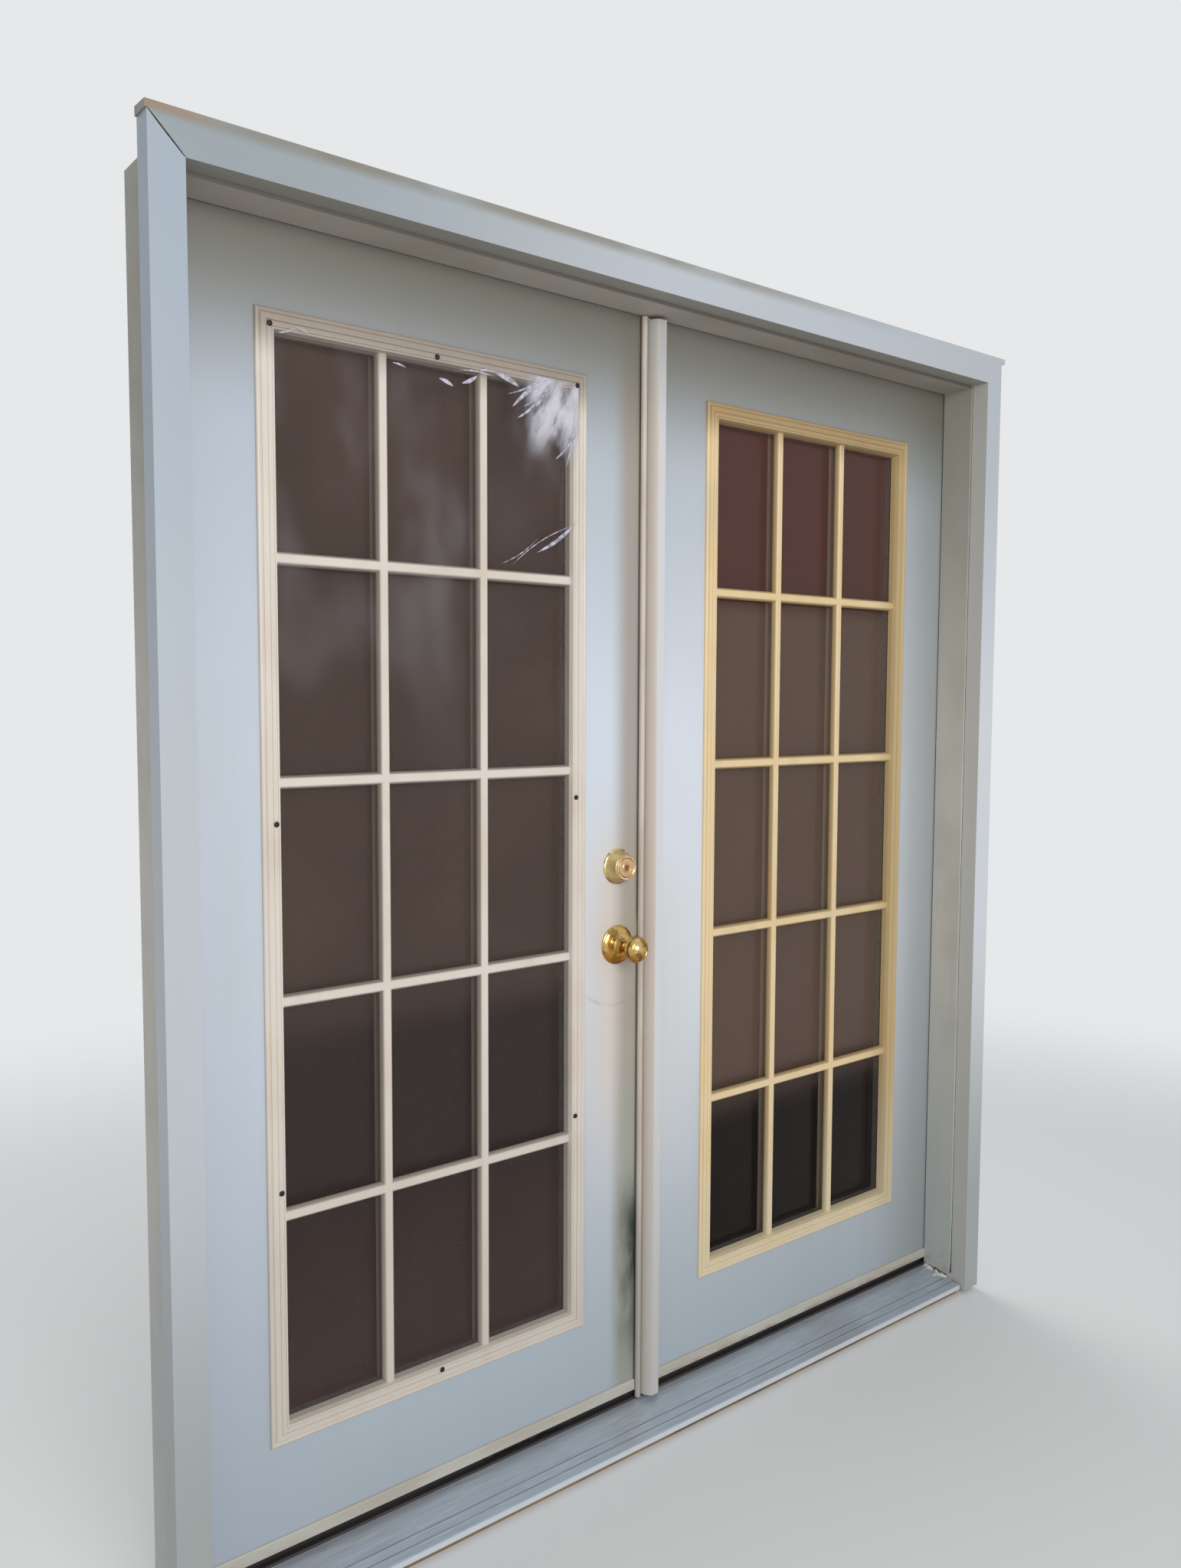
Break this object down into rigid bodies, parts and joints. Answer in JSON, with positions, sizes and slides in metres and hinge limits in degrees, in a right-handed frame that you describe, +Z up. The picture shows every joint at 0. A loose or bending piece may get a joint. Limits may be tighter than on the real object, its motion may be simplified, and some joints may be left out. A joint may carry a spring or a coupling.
{
  "type": "french doors with frame",
  "caption": "Glazed hinged entry doors in a wooden frame with flat casing, sloping sill, astragal, knob and deadbolt.",
  "frame": {"origin": "midway between the leaves, on the plane of the frame's outer edge, at the underside of the sill", "axes": "+X to the right seen from outside, +Y into the building, +Z up"},
  "size_m": [1.8267, 0.222, 2.053],
  "materials": {
    "painted_wood": "painted white, weathered",
    "casing_coil": "painted sheet wrap",
    "cap_coil": "stained sheet wrap",
    "bare_wood": "unfinished softwood",
    "sill_metal": "mill finish, brushed",
    "threshold": "dark vinyl",
    "weather_foam": "matt foam",
    "hinge_brass": "dull plated",
    "screw_steel": "zinc plated",
    "skin_paint": "smooth eggshell paint",
    "foam": "rigid foam",
    "lite_beige": "aged moulding",
    "lite_cream": "yellowed moulding",
    "glass": "clear",
    "spacer_metal": "plain",
    "sweep_vinyl": "cream band with black fins",
    "storm_plastic": "clear sheet",
    "screw_black": "black",
    "lock_brass": "polished",
    "astragal_paint": "painted",
    "seal_vinyl": "pale grey vinyl"
  },
  "bodies": {
    "frame": {"right_jamb": "painted_wood", "left_jamb": "painted_wood", "head_jamb": "painted_wood", "right_casing": "casing_coil", "left_casing": "casing_coil", "head_casing": "casing_coil", "drip_cap": "cap_coil", "sill_base": "bare_wood", "sill_plate": "sill_metal", "threshold_cap": "threshold", "weatherstrips": "weather_foam", "frame_hinge_leaves": "hinge_brass", "hinge_pins": "hinge_brass", "frame_hinge_screws": "screw_steel", "bolt_keepers": "screw_steel"},
    "active_leaf": {"active_outer_skin": "skin_paint", "active_inner_skin": "skin_paint", "active_core": "foam", "active_stiles": "bare_wood", "lock_block": "bare_wood", "active_rails": "bare_wood", "active_outer_glazing_frame": "lite_beige", "active_inner_glazing_frame": "lite_beige", "active_panes": "glass", "active_spacer": "spacer_metal", "active_glazing_screws": "screw_steel", "active_sweep": "sweep_vinyl", "active_hinge_leaves": "hinge_brass", "active_hinge_screws": "screw_steel", "storm_sheet": "storm_plastic", "storm_sheet_screws": "screw_black", "deadbolt_collar": "lock_brass", "deadbolt_cylinder": "lock_brass", "deadbolt_inner_rose": "lock_brass", "bolt_cases": "screw_steel", "edge_faceplates": "lock_brass", "knob_roses": "lock_brass"},
    "passive_leaf": {"passive_outer_skin": "skin_paint", "passive_inner_skin": "skin_paint", "passive_core": "foam", "passive_stiles": "bare_wood", "passive_rails": "bare_wood", "passive_outer_glazing_frame": "lite_cream", "passive_inner_glazing_frame": "lite_cream", "passive_panes": "glass", "passive_spacer": "spacer_metal", "passive_glazing_screws": "screw_steel", "passive_sweep": "sweep_vinyl", "passive_hinge_leaves": "hinge_brass", "passive_hinge_screws": "screw_steel", "astragal": "astragal_paint", "astragal_seal": "seal_vinyl", "strike_plates": "lock_brass"},
    "deadbolt": {"deadbolt_bolt": "lock_brass"},
    "thumb": {"thumb_turn": "lock_brass"},
    "latch": {"latch_bolt": "lock_brass"},
    "knobs": {"outer_knob": "lock_brass", "inner_knob": "lock_brass"},
    "top_bolt": {"top_flush_bolt": "screw_steel"},
    "bottom_bolt": {"bottom_flush_bolt": "screw_steel"}
  },
  "joints": [
    {"name": "active_swing", "type": "hinge", "parent": "frame", "child": "active_leaf", "pos_m": [-0.8638, 0.1215, 1], "axis": [0, 0, 1], "range_deg": [0, 105]},
    {"name": "passive_swing", "type": "hinge", "parent": "frame", "child": "passive_leaf", "pos_m": [0.8638, 0.1215, 1], "axis": [0, 0, -1], "range_deg": [0, 90]},
    {"name": "thumb_turn_turn", "type": "hinge", "parent": "active_leaf", "child": "thumb", "pos_m": [-0.0656, 0.116, 1.028], "axis": [0, 1, 0], "range_deg": [0, 90]},
    {"name": "deadbolt_slide", "type": "slide", "parent": "active_leaf", "child": "deadbolt", "axis": [1, 0, 0], "range_m": [0, 0.025]},
    {"name": "knob_turn", "type": "hinge", "parent": "active_leaf", "child": "knobs", "pos_m": [-0.0656, 0.116, 0.888], "axis": [0, 1, 0], "range_deg": [0, 60]},
    {"name": "latch_slide", "type": "slide", "parent": "active_leaf", "child": "latch", "axis": [1, 0, 0], "range_m": [0, 0.012]},
    {"name": "top_bolt_slide", "type": "slide", "parent": "passive_leaf", "child": "top_bolt", "axis": [0, 0, 1], "range_m": [0, 0.016]},
    {"name": "bottom_bolt_slide", "type": "slide", "parent": "passive_leaf", "child": "bottom_bolt", "axis": [0, 0, -1], "range_m": [0, 0.032]}
  ],
  "couplings": [
    {"joint": "passive_swing", "follows": "active_swing", "ratio": 0.85},
    {"joint": "thumb_turn_turn", "follows": "deadbolt_slide", "rad_per_m": 62.83},
    {"joint": "latch_slide", "follows": "knob_turn", "m_per_rad": 0.01145}
  ]
}
